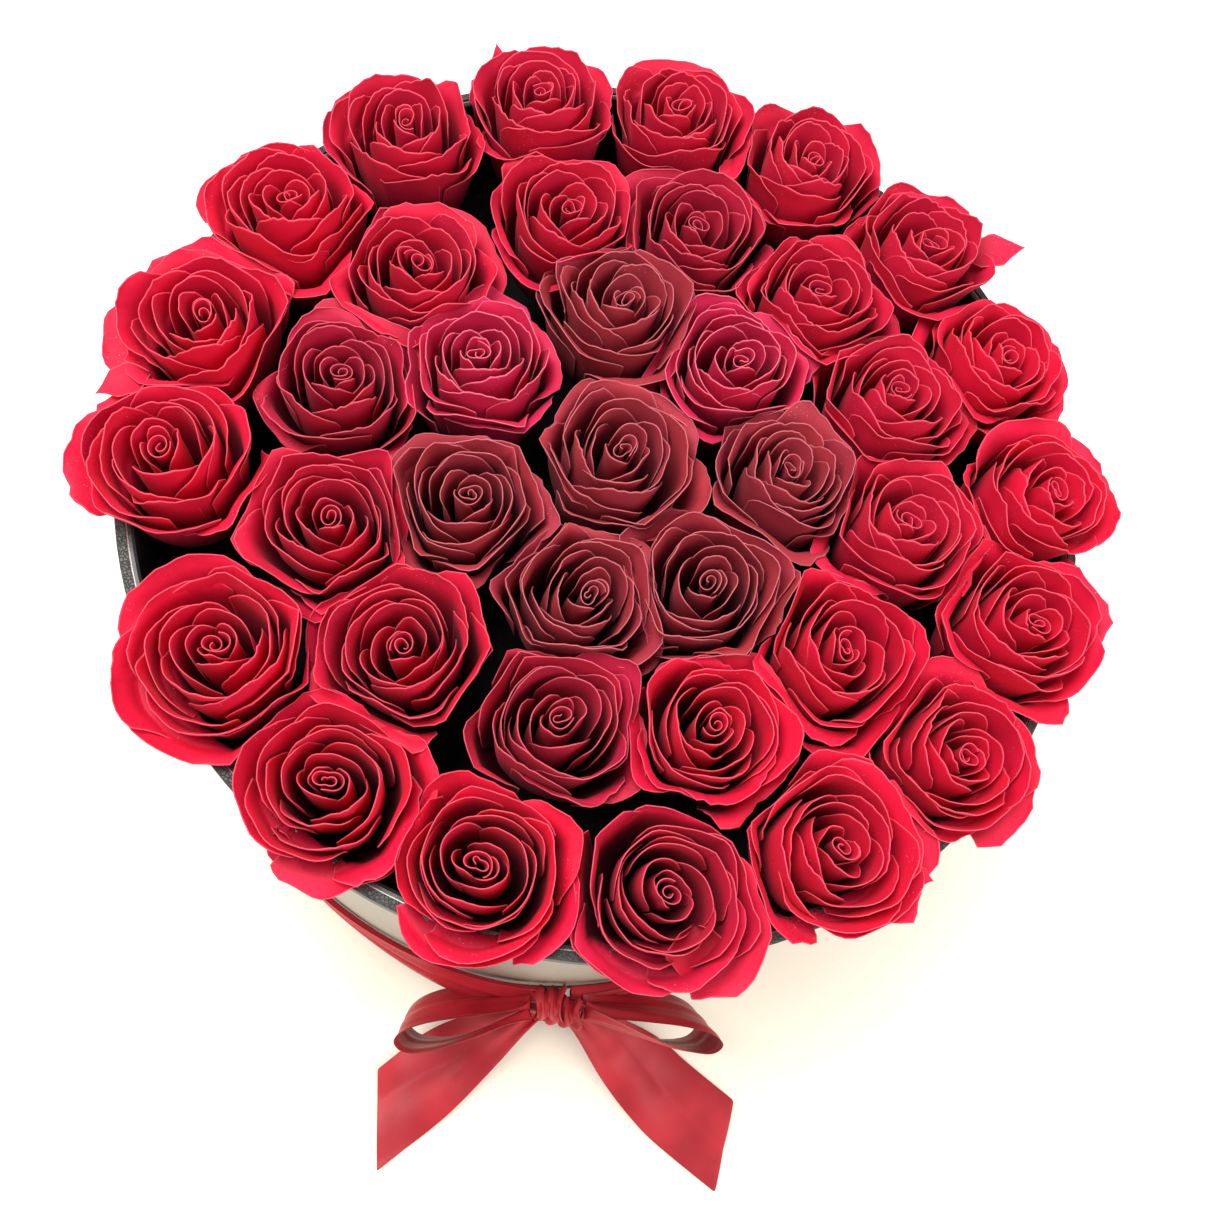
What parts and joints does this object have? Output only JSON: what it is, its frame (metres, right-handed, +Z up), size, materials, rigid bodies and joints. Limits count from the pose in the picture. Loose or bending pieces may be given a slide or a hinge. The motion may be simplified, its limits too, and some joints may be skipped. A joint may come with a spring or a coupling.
{
  "type": "flower box",
  "caption": "Round hat box with a satin bow, filled with rings of preserved roses on a foam insert that lifts out",
  "frame": {"origin": "centre of the box's underside, on the surface it stands on", "axes": "+Z up along the box's axis, -Y towards the bow at the front, +X to the right seen from the front"},
  "size_m": [0.3307, 0.4107, 0.246],
  "materials": {
    "pearl_paper": "satin",
    "black_paper": "matte",
    "greyboard": "matte",
    "leatherette": "satin",
    "satin": "satin",
    "floral_foam": "matte",
    "black_card": "matte",
    "calyx_green": "matte",
    "pick_wire": "satin",
    "petal_burgundy": "matte",
    "petal_red": "matte"
  },
  "bodies": {
    "box": {"outer_wall": "pearl_paper", "inner_liner": "black_paper", "base_board": "greyboard", "bottom_cover": "leatherette", "top_rim_trim": "leatherette", "base_rim_trim": "leatherette", "ribbon_band": "satin", "ribbon_knot": "satin", "ribbon_loop_left": "satin", "ribbon_loop_right": "satin", "ribbon_tail_left": "satin", "ribbon_tail_right": "satin"},
    "flower_insert": {"foam_lower": "floral_foam", "foam_upper": "floral_foam", "cover_card": "black_card", "rose_calyxes": "calyx_green", "rose_picks": "pick_wire", "rose_01": "petal_burgundy", "rose_02": "petal_burgundy", "rose_03": "petal_burgundy", "rose_04": "petal_burgundy", "rose_05": "petal_burgundy", "rose_06": "petal_burgundy", "rose_07": "petal_burgundy", "rose_08": "petal_burgundy", "rose_09": "petal_red", "rose_10": "petal_red", "rose_11": "petal_red", "rose_12": "petal_red", "rose_13": "petal_red", "rose_14": "petal_red", "rose_15": "petal_red", "rose_16": "petal_red", "rose_17": "petal_red", "rose_18": "petal_red", "rose_19": "petal_red", "rose_20": "petal_red", "rose_21": "petal_red", "rose_22": "petal_red", "rose_23": "petal_red", "rose_24": "petal_red", "rose_25": "petal_red", "rose_26": "petal_red", "rose_27": "petal_red", "rose_28": "petal_red", "rose_29": "petal_red", "rose_30": "petal_red", "rose_31": "petal_red", "rose_32": "petal_red", "rose_33": "petal_red", "rose_34": "petal_red", "rose_35": "petal_red", "rose_36": "petal_red", "rose_37": "petal_red"}
  },
  "joints": [
    {"name": "insert_lift", "type": "slide", "parent": "box", "child": "flower_insert", "axis": [0, 0, 1], "range_m": [0, 0.24]}
  ]
}
